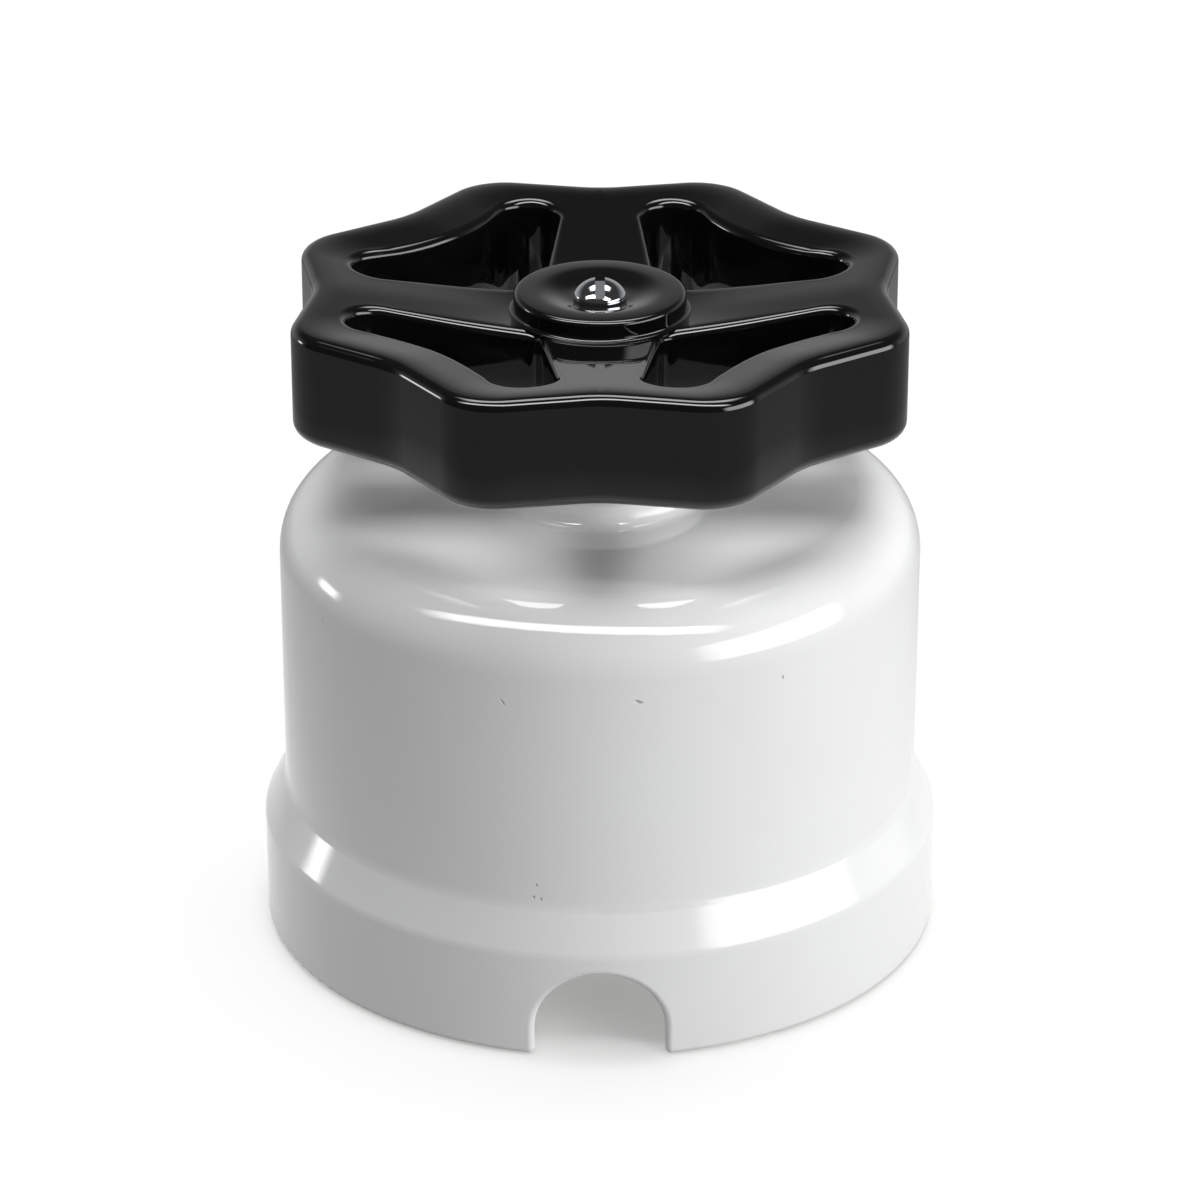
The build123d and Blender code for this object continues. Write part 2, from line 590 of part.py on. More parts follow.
def spoke_relief():
    # What is taken off the top of a spoke: flat, then an S-shaped ramp up to the rim.
    mid_r = (RAMP_FROM_R + RAMP_TO_R) / 2
    mid_z = (SPOKE_TOP_Z + WHEEL_TOP_Z) / 2
    half_run = RAMP_L / 2
    half_rise = SPOKE_DROP / 2
    ramp_round = (half_run ** 2 + half_rise ** 2) / (2 * half_rise)
    half_turn = atan2(half_run, ramp_round - half_rise) / 2
    bow = Vector(sin(half_turn), 1 - cos(half_turn)) * ramp_round
    over_z = WHEEL_TOP_Z + OVERCUT
    side = make_face(Wire([
        Line((0, SPOKE_TOP_Z), (RAMP_FROM_R, SPOKE_TOP_Z)),
        ThreePointArc((RAMP_FROM_R, SPOKE_TOP_Z), Vector(RAMP_FROM_R, SPOKE_TOP_Z) + bow, (mid_r, mid_z)),
        ThreePointArc((mid_r, mid_z), Vector(RAMP_TO_R, WHEEL_TOP_Z) - bow, (RAMP_TO_R, WHEEL_TOP_Z)),
        Line((RAMP_TO_R, WHEEL_TOP_Z), (RAMP_TO_R, over_z)),
        Line((RAMP_TO_R, over_z), (0, over_z)),
        Line((0, over_z), (0, SPOKE_TOP_Z))]))
    far_corner_y = window_corner().normalized().Y * WINDOW_FAR_R
    sweep = Pos(BIG / 2, 0, 0) * Box(BIG, 2 * far_corner_y, 2 * BIG)
    return turned(side) & sweep


def hub_profile():
    # The raised disc of the hub, flared where it meets the spokes.
    low_z = (WHEEL_LOW_Z + SPOKE_TOP_Z) / 2
    flare_r = HUB_R + 3 * HUB_FOOT_ROUND
    outline = make_face(Polyline((0, low_z), (flare_r, low_z), (flare_r, SPOKE_TOP_Z), (HUB_R, SPOKE_TOP_Z),
                                 (HUB_R, HUB_TOP_Z), (0, HUB_TOP_Z), close=True))
    return round_corners(outline, [(HUB_R, SPOKE_TOP_Z, HUB_FOOT_ROUND), (HUB_R, HUB_TOP_Z, HUB_EDGE_ROUND)])


def screw_recess():
    # Half section of what is taken out for the screw's head, open at the top with a soft mouth.
    mouth_r = HUB_R + OVERCUT
    over_z = HUB_TOP_Z + OVERCUT
    recess = make_face(Polyline(
        (0, KNOB_SEAT_Z), (SCREW_RECESS_R, KNOB_SEAT_Z), (SCREW_RECESS_R, HUB_TOP_Z),
        (mouth_r, HUB_TOP_Z), (mouth_r, over_z), (0, over_z), close=True))
    return fillet(corner_nearest(recess, SCREW_RECESS_R, HUB_TOP_Z), SCREW_RECESS_ROUND)


def on_window_rim(edge, low_z, high_z):
    # True for a window's rim between two heights, and not for the end of a spoke's ramp.
    middle = edge @ 0.5
    box = edge.bounding_box()
    if box.min.Z < low_z or box.max.Z > high_z or box.size.Z > SPOKE_DROP + EDGE_SLACK:
        return False
    beside_spoke = min(abs(middle.X), abs(middle.Y)) > SPOKE_HALF_RIM - EDGE_SLACK
    reach = hypot(middle.X, middle.Y)
    return beside_spoke and HUB_R - EDGE_SLACK < reach < SCALLOP_R - RIM_TOP_ROUND - EDGE_SLACK


def window_rims(wheel, low_z, high_z):
    return wheel.edges().filter_by(lambda edge: on_window_rim(edge, low_z, high_z))


def make_handwheel():
    # One moulding: lobed rim, four lowered spokes, hub with a raised disc and a skirt below.
    wheel = Pos(0, 0, WHEEL_LOW_Z) * extrude(wheel_outline(), WHEEL_H)
    wheel = fillet(wheel.edges().group_by(Axis.Z)[-1], RIM_TOP_ROUND)
    wheel = fillet(wheel.edges().group_by(Axis.Z)[0], RIM_LOW_ROUND)
    for relief in around(spoke_relief(), SPOKE_COUNT):
        wheel = wheel - relief
    wheel = wheel + turned(hub_profile())
    window = extrude(window_outline(), BIG)
    for opening in around(window, SPOKE_COUNT):
        wheel = wheel - opening
    wheel = fillet(window_rims(wheel, SPOKE_TOP_Z - EDGE_SLACK, WHEEL_TOP_Z + EDGE_SLACK), WINDOW_TOP_ROUND)
    wheel = fillet(window_rims(wheel, WHEEL_LOW_Z - EDGE_SLACK, WHEEL_LOW_Z + EDGE_SLACK), WINDOW_LOW_ROUND)
    wheel = wheel - turned(screw_recess())
    skirt_low_z = COLLAR_TOP_Z + SKIRT_GAP
    bore_top_z = BUSHING_TOP_Z + SKIRT_BORE_TOP
    wheel = wheel + rod(SKIRT_R, skirt_low_z, WHEEL_LOW_Z)
    wheel = wheel - rod(SKIRT_BORE_R, 0, bore_top_z)
    wheel = wheel - keyed_hole(0, SPINDLE_TOP_Z + SPINDLE_END_GAP)
    return wheel - rod(M3_R + FIT, 0, BIG)


def make_knob_screw():
    # A raised dome head in the hub's recess, its slot running front to back.
    top_z = KNOB_SEAT_Z + KNOB_HEAD_H
    dome_rise = KNOB_HEAD_H - KNOB_HEAD_EDGE
    dome_r = (KNOB_HEAD_R ** 2 + dome_rise ** 2) / (2 * dome_rise)
    head = rod(KNOB_HEAD_R, KNOB_SEAT_Z, top_z) & Pos(0, 0, top_z - dome_r) * Sphere(dome_r)
    head = head - Pos(0, 0, top_z) * Box(KNOB_SLOT_W, 3 * KNOB_HEAD_R, 2 * KNOB_SLOT_DEPTH)
    return head + rod(M3_R, KNOB_SHANK_LOW_Z, KNOB_SEAT_Z)


def write(name, shape):
    # One file for each piece; a list of like pieces becomes one group of solids.
    if isinstance(shape, list):
        shape = Compound(children=shape)
    export_step(shape, os.path.join("parts", name + ".step"))
    print(name)


def write_housing():
    write("cover", make_cover())
    write("base", make_base())
    front, rear = post_places()
    write("post_front", front * make_post())
    write("post_rear", rear * make_post())
    write("post_screws", [place * screw_from_below(SHANK_L) for place in post_places()])
    write("bridge_plate", make_bridge())
    bridge_screw = Pos(0, 0, BRIDGE_TOP_Z) * slotted_screw(M3_R, SHANK_L, M3_HEAD_R, M3_HEAD_H)
    write("bridge_screws", [place * bridge_screw for place in post_places()])
    write("threaded_bushing", make_bushing())
    write("nut_washer", ring(WASHER_R, BUSHING_R + FIT, COLLAR_TOP_Z, NUT_LOW_Z))
    write("ring_nut", make_ring_nut())
    write("lower_bearing", make_lower_bearing())
    write("detent_spring_left", make_detent_leaf(180))
    write("detent_spring_right", make_detent_leaf(0))
    write("detent_rivets", [make_rivet(180), make_rivet(0)])


def write_terminals():
    for number, angle in enumerate(terminal_angles(), 1):
        write(f"terminal_{number}", make_terminal(angle))
        write(f"contact_spring_{number}", make_contact_spring(angle))
    write("terminal_fixings", [place * screw_from_below(FIXING_TAP) for place in fixing_places()])
    write("clamp_screws", [make_clamp_screw(angle) for angle in terminal_angles()])
    write("spring_screws", [make_spring_screw(angle) for angle in terminal_angles()])


def write_turning_parts():
    write("spindle", make_spindle())
    write("contact_drum", make_drum())
    for number, angle in enumerate(STRIP_ANGLES, 1):
        write(f"contact_strip_{number}", make_strip(angle))
    write("detent_cam", make_cam())
    write("retaining_clip", make_clip())
    write("handwheel", make_handwheel())
    write("knob_screw", make_knob_screw())


os.makedirs("parts", exist_ok=True)
write_housing()
write_terminals()
write_turning_parts()
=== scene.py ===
# %% [markdown]
# A porcelain rotary switch with a handwheel knob
#
# This lesson dresses a finished CAD model. The CAD gives every solid of the switch at its real size,
# and Blender gives it what CAD leaves out: glaze, moulded gloss, plated metal, light and a camera.
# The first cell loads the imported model. Its nodes stay where they are, so nothing here is fitted by eye.

# %% Load the model
import json
import math
from bisect import bisect_left

import bmesh
import bpy
from mathutils import Matrix, Vector


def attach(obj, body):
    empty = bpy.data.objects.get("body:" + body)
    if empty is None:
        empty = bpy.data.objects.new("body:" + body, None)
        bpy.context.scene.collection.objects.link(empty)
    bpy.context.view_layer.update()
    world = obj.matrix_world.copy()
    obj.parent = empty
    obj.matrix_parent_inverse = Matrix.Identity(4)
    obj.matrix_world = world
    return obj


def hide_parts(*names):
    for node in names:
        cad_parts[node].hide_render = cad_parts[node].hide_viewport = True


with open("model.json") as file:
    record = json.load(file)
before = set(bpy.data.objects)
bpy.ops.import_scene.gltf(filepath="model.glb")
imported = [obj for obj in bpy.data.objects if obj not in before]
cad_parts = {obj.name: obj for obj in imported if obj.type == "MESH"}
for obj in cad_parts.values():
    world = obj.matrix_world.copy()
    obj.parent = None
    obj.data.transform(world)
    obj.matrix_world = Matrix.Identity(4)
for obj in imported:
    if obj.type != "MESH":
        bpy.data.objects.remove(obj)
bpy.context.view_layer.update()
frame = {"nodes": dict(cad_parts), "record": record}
nodes = frame["nodes"]
MM = 0.001

# %% [markdown]
# The camera
#
# A product photograph is taken from some way off with a long lens, so that the rim of the knob and the
# foot of the cover keep their true proportions. This camera stands half a metre away and looks down at
# 25 degrees at the middle of the switch. A square picture 36 mm wide takes a lens of about 150 mm.

# %% Camera
CAMERA_AT = Vector((0, -465.8, 252.2)) * MM
LOOKS_AT = Vector((0, 0, 33.95)) * MM
SENSOR_MM, LENS_MM = 36, 149.9
NEAREST_SEEN = 10 * MM

camera_data = bpy.data.cameras.new("product_camera")
camera_data.sensor_width = SENSOR_MM
camera_data.lens = LENS_MM
camera_data.clip_start = NEAREST_SEEN
camera = bpy.data.objects.new("product_camera", camera_data)
camera.location = CAMERA_AT
camera.rotation_euler = (LOOKS_AT - CAMERA_AT).to_track_quat("-Z", "Y").to_euler()
bpy.context.scene.collection.objects.link(camera)
bpy.context.scene.camera = camera
bpy.context.scene.view_settings.view_transform = "Standard"
print("camera", round((LOOKS_AT - CAMERA_AT).length / MM), "mm from the switch")

# %% [markdown]
# Small helpers for materials
#
# Colours are easiest to read as the hex values of a paint chart. Those are sRGB values, and a shader
# wants linear ones, so one function turns them. Another adds a node with its settings and links, which
# keeps every material below as short as a list of what its surface is made of. Two more start and end
# a material.


# %% Helpers for materials
def linear(hex_colour):
    channels = [int(hex_colour[i:i + 2], 16) / 255 for i in (1, 3, 5)]
    return [c / 12.92 if c <= 0.04045 else ((c + 0.055) / 1.055) ** 2.4 for c in channels] + [1.0]


def add_node(tree, kind, inputs=None, **settings):
    node = tree.nodes.new(kind)
    for name, value in settings.items():
        setattr(node, name, value)
    for name, value in (inputs or {}).items():
        if isinstance(value, bpy.types.NodeSocket):
            tree.links.new(value, node.inputs[name])
        else:
            node.inputs[name].default_value = value
    return node


def new_material(name):
    material = bpy.data.materials.new(name)
    material.use_nodes = True
    material.node_tree.nodes.clear()
    return material, material.node_tree


def finish_material(tree, surface):
    add_node(tree, "ShaderNodeOutputMaterial", {"Surface": surface})


WHITE = linear("#FFFFFF")
print("white in linear values", WHITE)

# %% [markdown]
# The stage
#
# The photograph has a white sweep under and behind the switch. The floor is a plain disc. What the camera
# and any glossy surface see of it is white, and it still takes the switch's shadow. Right under the switch
# it is pale card with only a little glow, so that the shadow in the cable notch keeps its depth. The floor
# is left out of diffuse light, which comes from an even grey world, and from below it is seen through.

# %% Floor
FLOOR_R = 450 * MM
FLOOR_UNDER = 0.2 * MM
CIRCLE_SIDES = 96
SHADE_R, OPEN_R = 33.5 * MM, 38.0 * MM
FLOOR_CARD, FLOOR_GREY = "#DCDCDB", "#8A8A8A"
CARD_GLOW, FLOOR_GLOW = 0.28, 0.74


def sees_background(tree):
    # One for the rays of the camera, of gloss and of clear things, and zero for diffuse light.
    path = add_node(tree, "ShaderNodeLightPath")
    first = add_node(tree, "ShaderNodeMath", {
        0: path.outputs["Is Camera Ray"], 1: path.outputs["Is Glossy Ray"]}, operation="MAXIMUM")
    return add_node(tree, "ShaderNodeMath", {
        0: first.outputs[0], 1: path.outputs["Is Transmission Ray"]}, operation="MAXIMUM").outputs[0]


def distance_from_origin(tree):
    place = add_node(tree, "ShaderNodeTexCoord")
    return add_node(tree, "ShaderNodeVectorMath", {
        0: place.outputs["Object"]}, operation="LENGTH").outputs["Value"]


def new_object(name, bm, material):
    mesh = bpy.data.meshes.new(name)
    bm.to_mesh(mesh)
    bm.free()
    mesh.materials.append(material)
    made = bpy.data.objects.new(name, mesh)
    bpy.context.scene.collection.objects.link(made)
    return made


sweep, tree = new_material("painted_white_sweep")
opened = add_node(tree, "ShaderNodeMapRange", {
    "Value": distance_from_origin(tree), "From Min": SHADE_R, "From Max": OPEN_R},
    interpolation_type="SMOOTHSTEP").outputs[0]
paint = add_node(tree, "ShaderNodeMix", {
    "Factor": opened, "A": linear(FLOOR_CARD), "B": linear(FLOOR_GREY)}, data_type="RGBA")
glowing = add_node(tree, "ShaderNodeMapRange", {
    "Value": opened, "To Min": CARD_GLOW, "To Max": FLOOR_GLOW})
lit = add_node(tree, "ShaderNodeBsdfDiffuse", {"Color": paint.outputs["Result"]})
glow = add_node(tree, "ShaderNodeEmission", {"Color": WHITE, "Strength": glowing.outputs[0]})
seen = add_node(tree, "ShaderNodeAddShader", {0: lit.outputs[0], 1: glow.outputs[0]})
by_path = add_node(tree, "ShaderNodeMixShader", {
    0: sees_background(tree), 1: lit.outputs[0], 2: seen.outputs[0]})
clear = add_node(tree, "ShaderNodeBsdfTransparent")
facing_side = add_node(tree, "ShaderNodeNewGeometry")
finish_material(tree, add_node(tree, "ShaderNodeMixShader", {
    0: facing_side.outputs["Backfacing"], 1: by_path.outputs[0], 2: clear.outputs[0]}).outputs[0])

bm = bmesh.new()
bmesh.ops.create_circle(bm, cap_ends=True, segments=CIRCLE_SIDES, radius=FLOOR_R)
bmesh.ops.translate(bm, verts=bm.verts, vec=(0, 0, -FLOOR_UNDER))
floor = new_object("floor", bm, sweep)
floor.visible_diffuse = False
print("floor", round(2 * FLOOR_R / MM), "mm across")

# %% World
SEEN_WHITE = 1.0
AMBIENT = 0.25

world = bpy.data.worlds.new("white_studio")
world.use_nodes = True
tree = world.node_tree
tree.nodes.clear()
even = add_node(tree, "ShaderNodeBackground", {"Color": WHITE, "Strength": AMBIENT})
white = add_node(tree, "ShaderNodeBackground", {"Color": WHITE, "Strength": SEEN_WHITE})
mixed = add_node(tree, "ShaderNodeMixShader", {
    0: sees_background(tree), 1: even.outputs[0], 2: white.outputs[0]})
add_node(tree, "ShaderNodeOutputWorld", {"Surface": mixed.outputs[0]})
bpy.context.scene.world = world
print("the world is seen at", SEEN_WHITE, "and lights at", AMBIENT)

# %% [markdown]
# The lamps
#
# Gloss shows its lamps, so their places were read back from the highlights: a softbox low on the right,
# which also gives the cover its bright right side; a long narrow one overhead and a little in front, whose
# light lies along the shoulder; a small one low on the left; and one above and a little behind, which
# shines through the windows of the knob onto the cover's top. Each is an area lamp facing the switch, and
# fades towards its ends as cloth in front of a bulb does, so that its highlights have soft ends too.

# %% Lamps
AIM = Vector((0, 0, 40)) * MM
STRIP_AT = Vector((-0.08, -0.36, 0.80))
STRIP_W, STRIP_D = 1.80, 0.14


def direction(azimuth, height):
    # A unit vector, by degrees from the camera's side towards the right and degrees above the level.
    a, e = math.radians(azimuth), math.radians(height)
    return Vector((math.sin(a) * math.cos(e), -math.cos(a) * math.cos(e), math.sin(e)))


def soft_end(tree, value, share):
    # Rises from nothing to full over this share of the lamp at each end.
    near = add_node(tree, "ShaderNodeMath", {0: 1.0, 1: value}, operation="SUBTRACT")
    edge = add_node(tree, "ShaderNodeMath", {0: near.outputs[0], 1: value}, operation="MINIMUM")
    return add_node(tree, "ShaderNodeMapRange", {
        "Value": edge.outputs[0], "From Min": 0.0, "From Max": share},
        interpolation_type="SMOOTHSTEP").outputs[0]


def area_lamp(name, centre, width, depth, watts, soft):
    data = bpy.data.lights.new(name, "AREA")
    data.shape = "RECTANGLE"
    data.size, data.size_y = width, depth
    # The soft ends hold back some of the light, so the bulb behind them is that much stronger.
    data.energy = watts / ((1 - soft[0]) * (1 - soft[1]))
    data.use_nodes = True
    tree = data.node_tree
    tree.nodes.clear()
    across = add_node(tree, "ShaderNodeSeparateXYZ", {
        0: add_node(tree, "ShaderNodeNewGeometry").outputs["Parametric"]})
    fade = add_node(tree, "ShaderNodeMath", {
        0: soft_end(tree, across.outputs["X"], soft[0]),
        1: soft_end(tree, across.outputs["Y"], soft[1])}, operation="MULTIPLY")
    glow = add_node(tree, "ShaderNodeEmission", {"Strength": fade.outputs[0]})
    add_node(tree, "ShaderNodeOutputLight", {"Surface": glow.outputs[0]})
    lamp = bpy.data.objects.new(name, data)
    lamp.location = centre
    lamp.rotation_euler = (AIM - centre).to_track_quat("-Z", "Y").to_euler()
    lamp.visible_camera = False
    bpy.context.scene.collection.objects.link(lamp)
    print(name, [round(v, 2) for v in centre], "m,", watts, "W")


# Name, place, width and depth in metres, watts, and the share of the width and the depth that fades.
area_lamp("right_softbox", AIM + direction(62, 10), 1.25, 0.58, 9.0, (0.22, 0.10))
area_lamp("overhead_strip", STRIP_AT, STRIP_W, STRIP_D, 2.3, (0.30, 0.12))
area_lamp("small_left_lamp", AIM + direction(-108, 5), 0.28, 0.24, 0.85, (0.40, 0.40))
area_lamp("rear_softbox", AIM + direction(180, 74), 1.20, 0.50, 7.6, (0.30, 0.20))

# %% [markdown]
# Black flags for the gloss
#
# A photographer stands dark boards round a black glossy thing, because without them it mirrors the white
# room and turns grey. A large dome does that here, seen by glossy rays alone. It is dark all round, except
# behind the switch, where the backdrop is lit from below and fades upwards. The dished top of the knob shows
# that: light in front, dark at the rear. The table darkens away from the white card under the switch.

# %% Flags
FLAG_R = 2.5
FLAG_AROUND, FLAG_UP = 64, 48
FLAG_DARK = 0.06
SWEEP_GREY = 0.56
SWEEP_FROM, SWEEP_TO = 9.0, 38.0
SWEEP_COMES_IN = 0.35
CARD_R, TABLE_R = 46 * MM, 150 * MM
TABLE_GREY = 0.27


def glossy_only(made):
    made.visible_camera = False
    made.visible_diffuse = False
    made.visible_transmission = False
    made.visible_shadow = False
    made.visible_volume_scatter = False


def glowing_surface(tree, strength):
    finish_material(tree, add_node(tree, "ShaderNodeEmission", {
        "Color": WHITE, "Strength": strength}).outputs[0])


boards, tree = new_material("black_flags_and_white_backdrop")
place = add_node(tree, "ShaderNodeTexCoord")
axes = add_node(tree, "ShaderNodeSeparateXYZ", {0: place.outputs["Object"]})
low_z, high_z = (FLAG_R * math.sin(math.radians(a)) for a in (SWEEP_FROM, SWEEP_TO))
fading = add_node(tree, "ShaderNodeMapRange", {
    "Value": axes.outputs["Z"], "From Min": low_z, "From Max": high_z,
    "To Min": SWEEP_GREY - FLAG_DARK, "To Max": 0.0}, interpolation_type="SMOOTHSTEP")
behind = add_node(tree, "ShaderNodeMapRange", {
    "Value": axes.outputs["Y"], "From Min": 0.0, "From Max": SWEEP_COMES_IN * FLAG_R},
    interpolation_type="SMOOTHSTEP")
share = add_node(tree, "ShaderNodeMath", {0: fading.outputs[0], 1: behind.outputs[0]}, operation="MULTIPLY")
strength = add_node(tree, "ShaderNodeMath", {0: share.outputs[0], 1: FLAG_DARK}, operation="ADD")
glowing_surface(tree, strength.outputs[0])

bm = bmesh.new()
bmesh.ops.create_uvsphere(bm, u_segments=FLAG_AROUND, v_segments=FLAG_UP, radius=FLAG_R)
glossy_only(new_object("flag_dome", bm, boards))

table, tree = new_material("table_darkening_from_the_card")
darker = add_node(tree, "ShaderNodeMapRange", {
    "Value": distance_from_origin(tree), "From Min": CARD_R, "From Max": TABLE_R,
    "To Min": SEEN_WHITE, "To Max": TABLE_GREY})
glowing_surface(tree, darker.outputs[0])

bm = bmesh.new()
bmesh.ops.create_circle(bm, cap_ends=False, segments=CIRCLE_SIDES, radius=FLOOR_R)
bmesh.ops.create_circle(bm, cap_ends=False, segments=CIRCLE_SIDES, radius=CARD_R)
bmesh.ops.bridge_loops(bm, edges=bm.edges[:])
bmesh.ops.translate(bm, verts=bm.verts, vec=(0, 0, FLOOR_UNDER))
glossy_only(new_object("grey_table", bm, table))
print("flags stand", FLAG_R, "m off, table grey beyond", round(TABLE_R / MM), "mm")

# %% [markdown]
# A white card overhead
#
# The photograph has a thin bright line round the shoulder and along every rounded edge of the knob. A card
# gives it, which hangs right behind the long lamp and is brighter than the lamp. It is seen in gloss alone,
# so it adds the line and no light.

# %% White card
CARD_WHITE = 9.0
CARD_DEPTH = 1.5 * STRIP_D
CARD_BEHIND = 1.02
CARD_FULL, CARD_END = 0.25 * STRIP_W, 0.5 * STRIP_W

card, tree = new_material("white_card_overhead")
place = add_node(tree, "ShaderNodeTexCoord")
axes = add_node(tree, "ShaderNodeSeparateXYZ", {0: place.outputs["Object"]})
off = add_node(tree, "ShaderNodeMath", {0: axes.outputs["X"], 1: STRIP_AT.x}, operation="SUBTRACT")
aside = add_node(tree, "ShaderNodeMath", {0: off.outputs[0]}, operation="ABSOLUTE")
ends = add_node(tree, "ShaderNodeMapRange", {
    "Value": aside.outputs[0], "From Min": CARD_FULL, "From Max": CARD_END,
    "To Min": CARD_WHITE, "To Max": 0.0}, interpolation_type="SMOOTHSTEP")
glowing_surface(tree, ends.outputs[0])

bm = bmesh.new()
bmesh.ops.create_grid(bm, x_segments=1, y_segments=1, size=0.5)
bmesh.ops.scale(bm, vec=(STRIP_W, CARD_DEPTH, 1), verts=bm.verts)
facing_aim = (STRIP_AT - AIM).to_track_quat("Z", "Y").to_matrix()
bmesh.ops.rotate(bm, verts=bm.verts, cent=(0, 0, 0), matrix=facing_aim)
bmesh.ops.translate(bm, verts=bm.verts, vec=STRIP_AT * CARD_BEHIND)
glossy_only(new_object("strip_card", bm, card))
print("card", STRIP_W, "by", round(CARD_DEPTH, 2), "m")

# %% [markdown]
# Patterns in millimetres
#
# A pattern looks right when its size is real. A noise texture counts in units of the coordinates, which are
# metres here, so its scale is one over the real size. From that come a value that drifts from patch to
# patch, for colours and gloss, and a ripple in the surface with a real depth.

# %% Patterns
# Nearly all of a noise texture lies between these two values.
NOISE_LOW, NOISE_HIGH = 0.3, 0.7


def noise_scale(size_mm):
    return 1 / (size_mm * MM)


def pattern(tree, size_mm, detail, stretch):
    # A stretch below one draws the pattern out along that axis.
    place = add_node(tree, "ShaderNodeTexCoord")
    drawn = add_node(tree, "ShaderNodeMapping", {"Vector": place.outputs["Object"], "Scale": stretch})
    return add_node(tree, "ShaderNodeTexNoise", {
        "Vector": drawn.outputs[0], "Scale": noise_scale(size_mm), "Detail": detail}).outputs[0]


def drift(tree, size_mm, low, high, detail=2.0, stretch=(1, 1, 1)):
    return add_node(tree, "ShaderNodeMapRange", {
        "Value": pattern(tree, size_mm, detail, stretch), "From Min": NOISE_LOW, "From Max": NOISE_HIGH,
        "To Min": low, "To Max": high}).outputs[0]


def ripple(tree, size_mm, depth_mm, detail=2.0, stretch=(1, 1, 1)):
    return add_node(tree, "ShaderNodeBump", {
        "Height": pattern(tree, size_mm, detail, stretch), "Strength": 1.0, "Distance": depth_mm * MM})


def blend(tree, factor, first, second):
    return add_node(tree, "ShaderNodeMix", {
        "Factor": factor, "A": first, "B": second}, data_type="RGBA").outputs["Result"]


print("a 7 mm ripple has scale", round(noise_scale(7)))

# %% [markdown]
# Glazed porcelain
#
# The cover is hard porcelain, turned, fired and dipped in a clear glaze. The glaze levels itself almost like
# glass, so the gloss is sharp, with a slow ripple a few millimetres wide that bends the edges of the
# highlights. Where the foot stood in the kiln it is left bare, and looks like fine, dull stone.
#
# This cover has some small flaws in its glaze. Each is a shallow pit, so they are pressed in as bumps at
# their places, given by the angle round the wall and the height above the foot. The middle of each pit is
# also painted darker, as painted shade.

# %% Pits in the glaze
WALL_R = 32.75
# For each pit: angle from the notch towards the right, height, length, width, lean. Degrees and mm.
PITS = [(-16.8, 37.7, 0.50, 0.16, 52), (6.5, 38.3, 0.62, 0.24, 18), (33.0, 38.5, 0.30, 0.16, 80),
        (-11.0, 18.0, 0.22, 0.16, 90), (-11.5, 16.6, 0.26, 0.15, 90), (-10.2, 16.5, 0.26, 0.14, 90),
        (-57.2, 40.0, 0.20, 0.18, 0)]
PIT_REACH = 3
PIT_FLOOR = 0.2
# The middle of each pit is painted a darker grey by this share, as painted shade in the pit.
PIT_DEPTH, PIT_SHADE_COLOUR, PIT_SHADE_SHARE = 0.10, "#8C8A86", 0.6


def pit(tree, coordinates, angle, height, length, width, lean):
    # One in the middle of the pit and zero outside it. It reaches far enough inwards to meet the wall.
    a = math.radians(angle)
    centre = Vector((WALL_R * math.sin(a), -WALL_R * math.cos(a), height)) * MM
    local = add_node(tree, "ShaderNodeMapping", {
        "Vector": coordinates, "Location": centre, "Rotation": (0, math.radians(lean), a),
        "Scale": (length * MM, PIT_REACH * MM, width * MM)}, vector_type="TEXTURE")
    off = add_node(tree, "ShaderNodeVectorMath", {0: local.outputs[0]}, operation="LENGTH")
    return add_node(tree, "ShaderNodeMapRange", {
        "Value": off.outputs["Value"], "From Min": PIT_FLOOR, "From Max": 1.0, "To Min": 1.0, "To Max": 0.0},
        interpolation_type="SMOOTHSTEP").outputs[0]


print(len(PITS), "pits,", min(p[2] for p in PITS), "to", max(p[2] for p in PITS), "mm long")

# %% Porcelain
BARE_FADES = 0.25
BARE_ROUGH = 0.75
GLAZE_ROUGH = (0.035, 0.06)
GLAZE_IOR = 1.5
CLOUD_MM, HAZE_MM = 18, 9
RIPPLE_MM, RIPPLE_DEPTH = 7, 0.035
ORANGE_PEEL_MM, ORANGE_PEEL_DEPTH = 0.35, 0.0006


